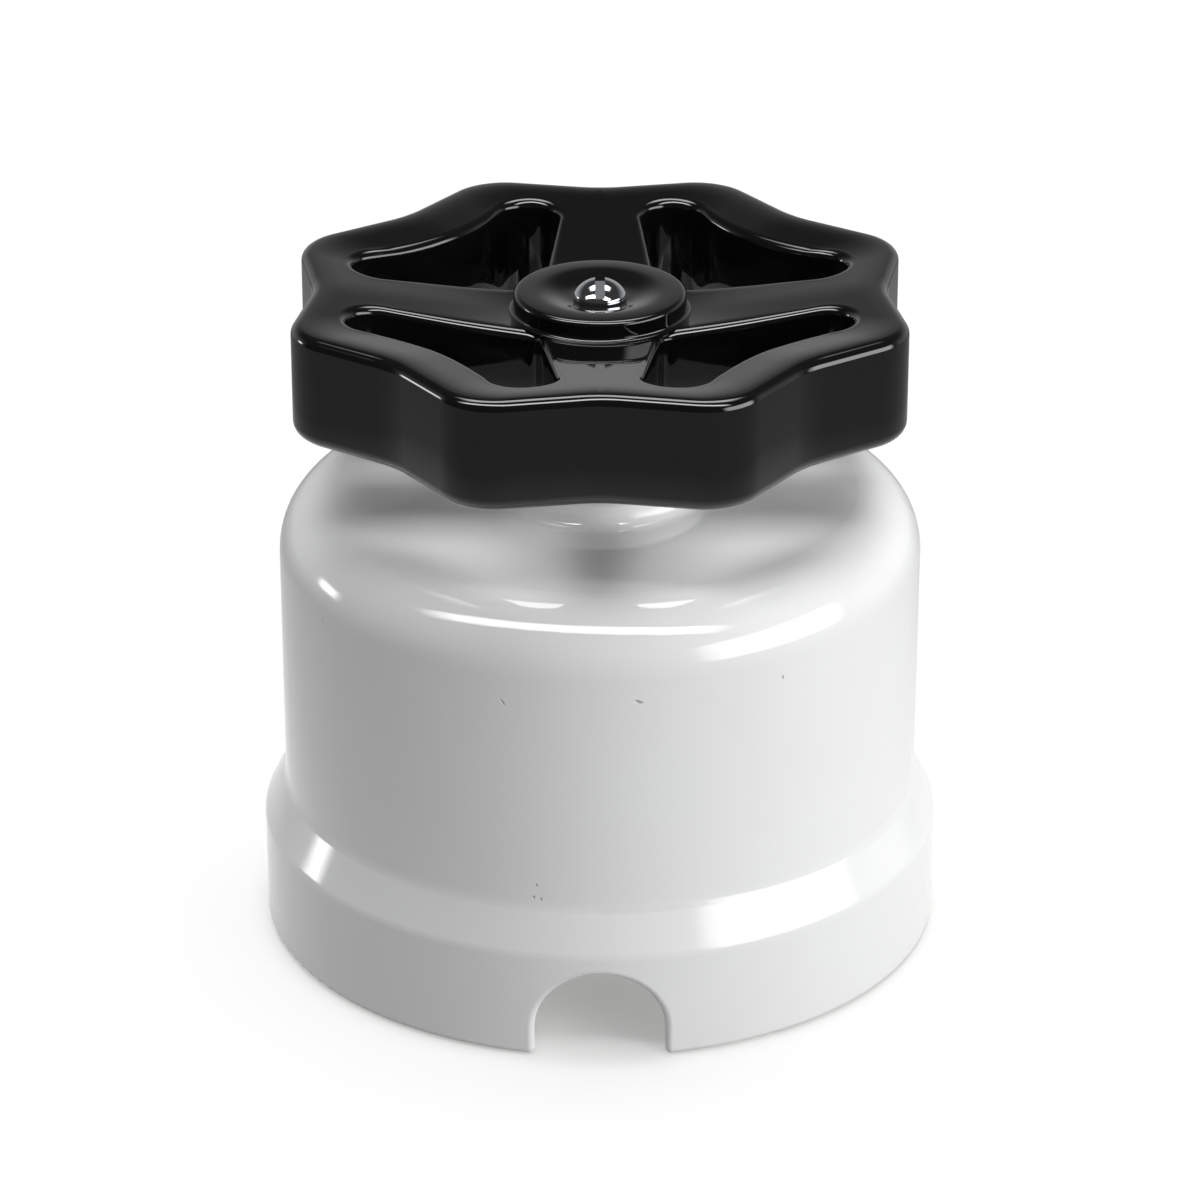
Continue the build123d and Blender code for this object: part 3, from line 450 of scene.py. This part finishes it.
def porcelain(name, glaze, bisque, foot_mm, pits):
    material, tree = new_material(name)
    place = add_node(tree, "ShaderNodeTexCoord").outputs["Object"]
    height = add_node(tree, "ShaderNodeSeparateXYZ", {0: place}).outputs["Z"]
    glazed = add_node(tree, "ShaderNodeMapRange", {
        "Value": height, "From Min": foot_mm * MM, "From Max": (foot_mm + BARE_FADES) * MM}).outputs[0]
    clouds = blend(tree, drift(tree, CLOUD_MM, 0.0, 1.0, detail=3.0), linear(glaze[0]), linear(glaze[1]))
    colour = blend(tree, glazed, linear(bisque), clouds)
    roughness = add_node(tree, "ShaderNodeMix", {
        "Factor": glazed, "A": BARE_ROUGH, "B": drift(tree, HAZE_MM, *GLAZE_ROUGH)}, data_type="FLOAT")
    slow = ripple(tree, RIPPLE_MM, RIPPLE_DEPTH, detail=1.0)
    surface = ripple(tree, ORANGE_PEEL_MM, ORANGE_PEEL_DEPTH)
    tree.links.new(slow.outputs[0], surface.inputs["Normal"])
    if pits:
        marks = pit(tree, place, *pits[0])
        for one in pits[1:]:
            marks = add_node(tree, "ShaderNodeMath", {
                0: marks, 1: pit(tree, place, *one)}, operation="MAXIMUM").outputs[0]
        # Painted shade: the colour darkens towards the middle of each pit.
        tint = add_node(tree, "ShaderNodeMath", {0: marks, 1: PIT_SHADE_SHARE}, operation="MULTIPLY")
        colour = blend(tree, tint.outputs[0], colour, linear(PIT_SHADE_COLOUR))
        sunk = add_node(tree, "ShaderNodeMath", {0: 1.0, 1: marks}, operation="SUBTRACT")
        surface = add_node(tree, "ShaderNodeBump", {
            "Height": sunk.outputs[0], "Strength": 1.0, "Distance": PIT_DEPTH * MM,
            "Normal": surface.outputs[0]})
    shader = add_node(tree, "ShaderNodeBsdfPrincipled", {
        "Base Color": colour, "Roughness": roughness.outputs["Result"], "IOR": GLAZE_IOR,
        "Normal": surface.outputs[0]})
    finish_material(tree, shader.outputs[0])
    return material


cover_glaze = porcelain("white_glazed_porcelain", ("#E8E8E8", "#E9EAEA"), "#DDD8CE", 0.02, PITS)
base_glaze = porcelain("thinly_glazed_porcelain_base", ("#E2E1DC", "#E6E5E1"), "#D8D2C6", 0.3, [])
print("porcelain", cover_glaze.name, base_glaze.name)

# %% [markdown]
# Moulded phenolic
#
# The knob is pressed from black phenolic in a polished steel mould, which leaves a deep, even gloss. Its
# refractive index is a little higher than that of glass. A moulding is never quite flat: it sinks a little
# where it is thick, so a very slow ripple goes on it, with the finest haze of handling in its roughness.
# The drum inside is the same stuff in brown, with its filler showing as a swirl and a duller skin.

# %% Black knob and brown drum
PHENOLIC_IOR = 1.55
HANDLED_MM, SINK_MM = 3.0, 9.0


def moulding(name, dark, light, swirl_mm, roughness, sink_depth):
    material, tree = new_material(name)
    colour = blend(tree, drift(tree, swirl_mm, 0.0, 1.0, detail=5.0), linear(dark), linear(light))
    shader = add_node(tree, "ShaderNodeBsdfPrincipled", {
        "Base Color": colour, "Roughness": drift(tree, HANDLED_MM, *roughness, detail=4.0),
        "IOR": PHENOLIC_IOR, "Normal": ripple(tree, SINK_MM, sink_depth, detail=1.0).outputs[0]})
    finish_material(tree, shader.outputs[0])
    return material


black_phenolic = moulding("black_moulded_phenolic", "#0B0B0B", "#0D0D0D", 6, (0.03, 0.055), 0.015)
brown_phenolic = moulding("brown_moulded_phenolic", "#2A160E", "#43261A", 2.5, (0.28, 0.38), 0.01)
print("mouldings", black_phenolic.name, brown_phenolic.name)

# %% [markdown]
# Metals
#
# A metal takes its colour from its reflection, so its base colour is what it mirrors, and its finish is in
# its roughness and in the direction of its tool marks. Turned brass has rings round its axis, rolled bronze
# and ground steel have lines along the strip, and zinc plating has small soft crystals.

# %% Metals
TARNISH_MM = 4.0
GRAIN_DETAIL = 3.0
# An even grain, and the stretch along an axis that draws a grain out into lines there.
EVEN = (1, 1, 1)
ALONG = 0.08


def metal(name, colour, dull, roughness, grain_mm, stretch, depth_mm):
    material, tree = new_material(name)
    tint = blend(tree, drift(tree, TARNISH_MM, 0.0, 1.0, GRAIN_DETAIL), linear(colour), linear(dull))
    shader = add_node(tree, "ShaderNodeBsdfPrincipled", {
        "Base Color": tint, "Metallic": 1.0,
        "Roughness": drift(tree, grain_mm, *roughness, GRAIN_DETAIL, stretch),
        "Normal": ripple(tree, grain_mm, depth_mm, GRAIN_DETAIL, stretch).outputs[0]})
    finish_material(tree, shader.outputs[0])
    return material


chrome = metal("polished_chrome_plate", "#C4C6C9", "#BFC1C4", (0.04, 0.07), 0.5, EVEN, 0.0004)
brass = metal("turned_brass", "#DDB96F", "#D2AB5E", (0.16, 0.26), 0.12, (ALONG, ALONG, 1), 0.002)
bronze = metal("rolled_phosphor_bronze", "#D39A6B", "#C58A5C", (0.20, 0.30), 0.15, (1, 1, ALONG), 0.002)
steel = metal("ground_steel", "#B4B4B3", "#A6A6A5", (0.24, 0.36), 0.15, (1, ALONG, 1), 0.003)
zinc = metal("bright_zinc_plate", "#BFC2C4", "#AEB2B6", (0.22, 0.34), 0.4, EVEN, 0.002)
print("metals", [m.name for m in (chrome, brass, bronze, steel, zinc)])

# %% [markdown]
# The handwheel, dished
#
# On the real knob the rim runs into the four spokes without a step: the top is one shallow dish, moulded
# with rounded lips round the windows. The CAD draws the spokes as flat steps, which is close enough for fit
# and for collisions, but gloss shows every step. So this piece stands for it in pictures.
#
# The first cells draw its outlines in millimetres: the lobed edge, from its arcs and the lines between
# them, the height of the dish at each point, and a window.

# %% Edge and dish of the handwheel
SCALLOP_R, SCALLOP_ROUND = 28.9, 12.0
LOBE_TIP_R, LOBE_ROUND = 32.4, 6.4
WHEEL_LOW, WHEEL_TOP = 57.2, 68.7
HALF_LOBE = math.radians(22.5)
RIM_STEPS, SPOKE_STEPS, HUB_STEPS = 120, 40, 24
TOP_ROUND, LOW_ROUND = 1.05, 1.4
DISH_FOOT_R, DISH_DEPTH, DISH_LEVEL = 9.2, 2.6, 0.12


def arc(centre, radius, start, end, steps):
    turns = (start + (end - start) * i / steps for i in range(steps + 1))
    return [centre + radius * Vector((math.cos(a), math.sin(a))) for a in turns]


def polar(radius, angle):
    return Vector((radius * math.cos(angle), radius * math.sin(angle)))


def edge_radius(angle):
    # One eighth of the edge and its mirror: scallop arc, straight line, lobe arc.
    turn = angle % (2 * HALF_LOBE)
    turn = min(turn, 2 * HALF_LOBE - turn)
    scallop_at, lobe_at = SCALLOP_R + SCALLOP_ROUND, LOBE_TIP_R - LOBE_ROUND
    apart = polar(lobe_at, HALF_LOBE) - Vector((scallop_at, 0))
    lean = math.atan2(apart.y, apart.x) + math.acos((SCALLOP_ROUND + LOBE_ROUND) / apart.length)
    along = Vector((math.cos(lean), math.sin(lean)))
    scallop_end = Vector((scallop_at, 0)) + SCALLOP_ROUND * along
    lobe_start = polar(lobe_at, HALF_LOBE) - LOBE_ROUND * along
    if turn <= math.atan2(scallop_end.y, scallop_end.x):
        off = scallop_at * math.sin(turn)
        return scallop_at * math.cos(turn) - math.sqrt(SCALLOP_ROUND ** 2 - off ** 2)
    if turn < math.atan2(lobe_start.y, lobe_start.x):
        return scallop_end.dot(along) / math.cos(turn - lean)
    off = lobe_at * math.sin(HALF_LOBE - turn)
    return lobe_at * math.cos(HALF_LOBE - turn) + math.sqrt(LOBE_ROUND ** 2 - off ** 2)


def inset(points, distance):
    # Each point moves to the left of the way round, which is inwards on a loop that turns to the left.
    moved = []
    for i, point in enumerate(points):
        way = points[(i + 1) % len(points)] - points[i - 1]
        moved.append(point + distance * Vector((-way.y, way.x)).normalized())
    return moved


def dish_height(point):
    # Falls along straight lines from the edge to the hub's foot, level at first.
    reach = edge_radius(math.atan2(point.y, point.x)) - TOP_ROUND
    part = max(0.0, (reach - point.length) / (reach - DISH_FOOT_R))
    fall = part ** 2 / (2 * DISH_LEVEL) if part < DISH_LEVEL else part - DISH_LEVEL / 2
    return WHEEL_TOP - DISH_DEPTH * fall / (1 - DISH_LEVEL / 2)


around = [2 * math.pi * i / (4 * RIM_STEPS) for i in range(4 * RIM_STEPS)]
wheel_edge = [polar(edge_radius(angle), angle) for angle in around]
print("edge", round(min(p.length for p in wheel_edge), 2), "to",
      round(max(p.length for p in wheel_edge), 2), "mm, dish", DISH_DEPTH, "mm deep")

# %% Outline of a window
WINDOW_SIDE_R, WINDOW_FAR_R = 22.0, 26.28
WINDOW_CORNER, WINDOW_HUB_CORNER = 3.2, 1.6
# Half a spoke is this wide at the axis, and narrows by this much for each millimetre outwards.
SPOKE_MID, SPOKE_TAPER = 6.892, 0.1187
HUB_CORNER_STEPS, SIDE_STEPS, CORNER_STEPS, BULGE_STEPS = 40, 60, 160, 80

# The far corner is an arc that touches the spoke and reaches out to the window's far radius.
steep = 1 + SPOKE_TAPER ** 2
at_y = SPOKE_MID + WINDOW_CORNER * math.sqrt(steep)
slope = -SPOKE_TAPER * at_y
corner_r = WINDOW_FAR_R - WINDOW_CORNER
corner_x = (math.sqrt(slope ** 2 - steep * (at_y ** 2 - corner_r ** 2)) - slope) / steep
corner = Vector((corner_x, at_y - SPOKE_TAPER * corner_x))

# Between its two far corners the window's side bulges towards the hub, opposite a scallop of the edge.
diagonal = Vector((1, 1)).normalized()
step_in = WINDOW_SIDE_R - corner.dot(diagonal)
half_apart = (corner - diagonal * corner.dot(diagonal)).length
bulge_r = (step_in ** 2 + half_apart ** 2 - WINDOW_CORNER ** 2) / (2 * (WINDOW_CORNER - step_in))
bulge_c = diagonal * (WINDOW_SIDE_R + bulge_r)
to_corner = math.atan2((corner - bulge_c).y, (corner - bulge_c).x) % (2 * math.pi)

# Near the hub a small arc joins the sides of the two spokes.
spoke_side = math.atan2(-SPOKE_TAPER, 1)
hub_side = SPOKE_MID / (1 + SPOKE_TAPER) * math.sqrt(2)
hub_c = diagonal * (hub_side + WINDOW_HUB_CORNER / math.sin(math.pi / 4 - spoke_side))

towards_hub = math.radians(225)
touches = spoke_side - math.pi / 2
half_window = arc(hub_c, WINDOW_HUB_CORNER, towards_hub, touches + 2 * math.pi, HUB_CORNER_STEPS)
side_start, side_end = half_window[-1], corner + polar(WINDOW_CORNER, touches)
half_window += [side_start.lerp(side_end, i / SIDE_STEPS) for i in range(1, SIDE_STEPS)]
half_window += arc(corner, WINDOW_CORNER, touches, to_corner - math.pi, CORNER_STEPS)
half_window += arc(bulge_c, bulge_r, to_corner, towards_hub, BULGE_STEPS)[1:]
window_edge = half_window + [Vector((p.y, p.x)) for p in reversed(half_window[1:-1])]
print("a window from", round(min(p.length for p in window_edge), 2), "to",
      round(max(p.length for p in window_edge), 2), "mm from the axis")

# %% Matching points on two outlines
# A point inside the window that sees the whole of each outline.
WINDOW_C = Vector((12.4, 12.4))


def facing(points, centre, others):
    # The point of a loop that lies in the same direction from the centre as each of the others.
    def heading(point):
        return math.atan2(point.y - centre.y, point.x - centre.x) % (2 * math.pi)

    known = sorted(((heading(p), (p - centre).length) for p in points), key=lambda pair: pair[0])
    before = (known[-1][0] - 2 * math.pi, known[-1][1])
    after = (known[0][0] + 2 * math.pi, known[0][1])
    known = [before] + known + [after]
    headings = [pair[0] for pair in known]
    found = []
    for other in others:
        a = heading(other)
        last = max(1, bisect_left(headings, a))
        (a0, r0), (a1, r1) = known[last - 1], known[last]
        part = (a - a0) / (a1 - a0) if a1 > a0 else 0.0
        found.append(centre + polar(r0 + (r1 - r0) * part, a))
    return found


def quarter_edge(rim, hub_r):
    # A quarter of the wheel, to the left: along a spoke, round the rim, back, and past the hub.
    quarter = rim[:RIM_STEPS + 1]
    first, last = quarter[0], quarter[-1]
    out = [first * (hub_r + (first.length - hub_r) * i / SPOKE_STEPS) / first.length
           for i in range(SPOKE_STEPS)]
    back = [last * (last.length + (hub_r - last.length) * i / SPOKE_STEPS) / last.length
            for i in range(1, SPOKE_STEPS)]
    past = [polar(hub_r, math.pi / 2 * (1 - i / HUB_STEPS)) for i in range(HUB_STEPS)]
    return out + quarter + back + past


HIDDEN_HUB_R = 8.0
top_edge = quarter_edge(inset(wheel_edge, TOP_ROUND), HIDDEN_HUB_R)
low_edge = quarter_edge(inset(wheel_edge, LOW_ROUND), HIDDEN_HUB_R)
print(len(top_edge), "points round a quarter,", len(window_edge), "round a window")

# %% [markdown]
# The surface grows ring by ring from these outlines. A ring of edges is extruded and its new points are set
# on the next outline: over the dish, round the lip, down the window and back under the wheel. One quarter is
# made and then copied and turned three times. The outer wall grows in the same way, and all is joined. The
# hub is a half section turned about the axis.


# %% Rings
def first_ring(bm, points):
    verts = bmesh.ops.create_circle(bm, cap_ends=False, segments=len(points), radius=1)["verts"]
    for vert, point in zip(verts, points):
        vert.co = point
    edges = list({edge for vert in verts for edge in vert.link_edges})
    return edges, {vert: i for i, vert in enumerate(verts)}


def next_ring(bm, ring, points):
    edges, order = ring
    known = {tuple(vert.co): i for vert, i in order.items()}
    made = bmesh.ops.extrude_edge_only(bm, edges=edges)["geom"]
    fresh = {vert: known[tuple(vert.co)] for vert in made if isinstance(vert, bmesh.types.BMVert)}
    for vert, i in fresh.items():
        vert.co = points[i]
    edges = [edge for edge in made
             if isinstance(edge, bmesh.types.BMEdge) and all(v in fresh for v in edge.verts)]
    return edges, fresh


def at_height(points, height):
    return [Vector((p.x, p.y, height(p) if callable(height) else height)) for p in points]


def opening_at(distance):
    # The window's outline, widened by a distance, with a point for each one on the quarter's edge.
    return facing(inset(window_edge, -distance), WINDOW_C, top_edge)


LIP_ROUND, LOW_LIP_ROUND = 0.95, 1.2
LAND_STEPS, UNDER_STEPS, ROUND_STEPS = 6, 3, 6
QUARTER_TURN = [math.pi / 2 * i / ROUND_STEPS for i in range(ROUND_STEPS + 1)]
lip, low_lip = opening_at(LIP_ROUND), opening_at(LOW_LIP_ROUND)
print("lips", LIP_ROUND, "and", LOW_LIP_ROUND, "mm round")

# %% Grow a quarter and turn it
bm = bmesh.new()
ring = first_ring(bm, at_height(top_edge, dish_height))
for i in range(1, LAND_STEPS + 1):
    land = [a.lerp(b, i / LAND_STEPS) for a, b in zip(top_edge, lip)]
    ring = next_ring(bm, ring, at_height(land, dish_height))
for a in QUARTER_TURN[1:]:
    drop = LIP_ROUND * (1 - math.cos(a))
    loop = opening_at(LIP_ROUND * (1 - math.sin(a)))
    ring = next_ring(bm, ring, [Vector((p.x, p.y, dish_height(q) - drop)) for p, q in zip(loop, lip)])
for a in QUARTER_TURN:
    loop = opening_at(LOW_LIP_ROUND * (1 - math.cos(a)))
    ring = next_ring(bm, ring, at_height(loop, WHEEL_LOW + LOW_LIP_ROUND * (1 - math.sin(a))))
for i in range(1, UNDER_STEPS + 1):
    land = [a.lerp(b, i / UNDER_STEPS) for a, b in zip(low_lip, low_edge)]
    ring = next_ring(bm, ring, at_height(land, WHEEL_LOW))

quarter = bm.verts[:] + bm.edges[:] + bm.faces[:]
for i in range(1, 4):
    copied = bmesh.ops.duplicate(bm, geom=quarter)["geom"]
    bmesh.ops.rotate(bm, verts=[v for v in copied if isinstance(v, bmesh.types.BMVert)], cent=(0, 0, 0),
                     matrix=Matrix.Rotation(i * math.pi / 2, 3, "Z"))
print("four quarters:", len(bm.faces), "faces")

# %% Grow the outer wall and join all
# Points of two neighbours that are closer than this are one.
SEAM_MM = 0.02

ring = first_ring(bm, at_height(inset(wheel_edge, TOP_ROUND), WHEEL_TOP))
for a in QUARTER_TURN[1:]:
    loop = inset(wheel_edge, TOP_ROUND * (1 - math.sin(a)))
    ring = next_ring(bm, ring, at_height(loop, WHEEL_TOP - TOP_ROUND * (1 - math.cos(a))))
for a in QUARTER_TURN:
    loop = inset(wheel_edge, LOW_ROUND * (1 - math.cos(a)))
    ring = next_ring(bm, ring, at_height(loop, WHEEL_LOW + LOW_ROUND * (1 - math.sin(a))))
bmesh.ops.remove_doubles(bm, verts=bm.verts, dist=SEAM_MM)
# What is still open are the two circles that the hub hides.
bmesh.ops.bridge_loops(bm, edges=[edge for edge in bm.edges if len(edge.link_faces) == 1])
print("wheel without its hub:", len(bm.faces), "faces,",
      sum(len(edge.link_faces) == 1 for edge in bm.edges), "open edges")

# %% Turn the hub
HUB_R, HUB_TOP, HUB_EDGE = 8.7, 68.2, 0.55
HUB_FLARE = DISH_FOOT_R - HUB_R
SKIRT_R, SKIRT_BORE_R, SKIRT_LOW, BORE_TOP = 9.6, 8.3, 50.3, 58.0
SEAT_Z, SEAT_R, SEAT_MOUTH_R, SEAT_STEPS = 67.6, 2.8, 6.6, 10
INSIDE_R = 8.6
TURN_STEPS, ARC_STEPS = 144, 6
SAME_MM = 0.001
SMOOTH_UP_TO = math.radians(40)


def spin_section(bm, section):
    # Turns a half section, given as radius and height from point to point, about the axis.
    points = [bm.verts.new((r, 0, z)) for r, z in section]
    edges = [bm.edges.new(pair) for pair in zip(points, points[1:])]
    bmesh.ops.spin(bm, geom=points + edges, cent=(0, 0, 0), axis=(0, 0, 1), angle=2 * math.pi,
                   steps=TURN_STEPS, use_merge=True)


def smooth_by_angle(bm):
    bmesh.ops.recalc_face_normals(bm, faces=bm.faces)
    for face in bm.faces:
        face.smooth = True
    for edge in bm.edges:
        edge.smooth = len(edge.link_faces) == 2 and edge.calc_face_angle() < SMOOTH_UP_TO


foot = WHEEL_TOP - DISH_DEPTH
flare_c = Vector((HUB_R + HUB_FLARE, foot + HUB_FLARE))
edge_c = Vector((HUB_R - HUB_EDGE, HUB_TOP - HUB_EDGE))
flare = [tuple(p) for p in arc(flare_c, HUB_FLARE, 1.5 * math.pi, math.pi, ARC_STEPS)]
rounding = [tuple(p) for p in arc(edge_c, HUB_EDGE, 0, math.pi / 2, ARC_STEPS)]
bowl = []
for i in range(SEAT_STEPS + 1):
    part = i / SEAT_STEPS
    fall = (HUB_TOP - SEAT_Z) * (1 - math.cos(math.pi * part)) / 2
    bowl.append((SEAT_MOUTH_R + (SEAT_R - SEAT_MOUTH_R) * part, HUB_TOP - fall))
spin_section(bm, [(0, BORE_TOP), (SKIRT_BORE_R, BORE_TOP), (SKIRT_BORE_R, SKIRT_LOW), (SKIRT_R, SKIRT_LOW),
                  (SKIRT_R, WHEEL_LOW), (INSIDE_R, WHEEL_LOW), (INSIDE_R, foot - HUB_FLARE)]
             + flare + rounding + bowl + [(0, SEAT_Z)])
bmesh.ops.remove_doubles(bm, verts=bm.verts, dist=SAME_MM)
smooth_by_angle(bm)
bmesh.ops.scale(bm, vec=(MM, MM, MM), verts=bm.verts)
handwheel = new_object("dished_handwheel", bm, black_phenolic)
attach(handwheel, "knob")
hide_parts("handwheel")
print("handwheel", len(handwheel.data.polygons), "faces")

# %% [markdown]
# The screw in the hub
#
# A slotted dome-head screw, chromed, sits in the soft dip of the hub. Its dome is a section turned about the
# axis. The slot is cut by slicing the dome along both its sides and at its floor, and pressing down what
# lies between.

# %% Dome-head screw
HEAD_R, HEAD_TOP, HEAD_EDGE, HEAD_SUNK = 2.7, 69.4, 0.3, 0.2
SLOT_HALF, SLOT_FLOOR = 0.5, 68.2
DOME_STEPS = 16
ON_THE_CUT = 1e-5

head_low = SEAT_Z - HEAD_SUNK
rise = HEAD_TOP - SEAT_Z - HEAD_EDGE
dome_r = (HEAD_R ** 2 + rise ** 2) / (2 * rise)
dome_start = math.pi / 2 - math.asin(HEAD_R / dome_r)
dome_c = Vector((0, HEAD_TOP - dome_r))
dome = [tuple(p) for p in arc(dome_c, dome_r, dome_start, math.pi / 2, DOME_STEPS)]

bm = bmesh.new()
spin_section(bm, [(0, head_low), (HEAD_R, head_low)] + dome)
bmesh.ops.remove_doubles(bm, verts=bm.verts, dist=SAME_MM)
cuts = [((SLOT_HALF, 0, 0), (1, 0, 0)), ((-SLOT_HALF, 0, 0), (1, 0, 0)), ((0, 0, SLOT_FLOOR), (0, 0, 1))]
for at, normal in cuts:
    bmesh.ops.bisect_plane(bm, geom=bm.verts[:] + bm.edges[:] + bm.faces[:], dist=ON_THE_CUT, plane_co=at,
                           plane_no=normal)
middles = [(face, face.calc_center_median()) for face in bm.faces]
pressed = [face for face, middle in middles if abs(middle.x) < SLOT_HALF and middle.z > SLOT_FLOOR]
made = bmesh.ops.extrude_face_region(bm, geom=pressed)["geom"]
bmesh.ops.delete(bm, geom=pressed, context="FACES")
for vert in made:
    if isinstance(vert, bmesh.types.BMVert):
        vert.co.z = SLOT_FLOOR
bmesh.ops.remove_doubles(bm, verts=bm.verts, dist=SAME_MM)
smooth_by_angle(bm)
bmesh.ops.scale(bm, vec=(MM, MM, MM), verts=bm.verts)
screw = new_object("dome_head_screw", bm, chrome)
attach(screw, "knob")
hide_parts("knob_screw")
print("screw head", 2 * HEAD_R, "mm across,", round(HEAD_TOP - SEAT_Z, 2), "mm high")

# %% [markdown]
# Dressing the CAD nodes
#
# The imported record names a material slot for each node. That list is followed here, so that each piece gets
# the finish it was drawn with, and none is forgotten.

# %% Assign the finishes
FINISH = {
    "white_porcelain": cover_glaze, "base_porcelain": base_glaze, "black_knob": black_phenolic,
    "chromed_screw": chrome, "brass": brass, "bronze": bronze, "phenolic": brown_phenolic,
    "steel": steel, "plated_screws": zinc}

for part in frame["record"]["subparts"]:
    node = nodes[part["node"]]
    finish = FINISH[part["material_slot"]]
    if not node.material_slots:
        node.data.materials.append(finish)
    for held in node.material_slots:
        held.material = finish
print("dressed", len(nodes), "nodes in", len(FINISH), "finishes")
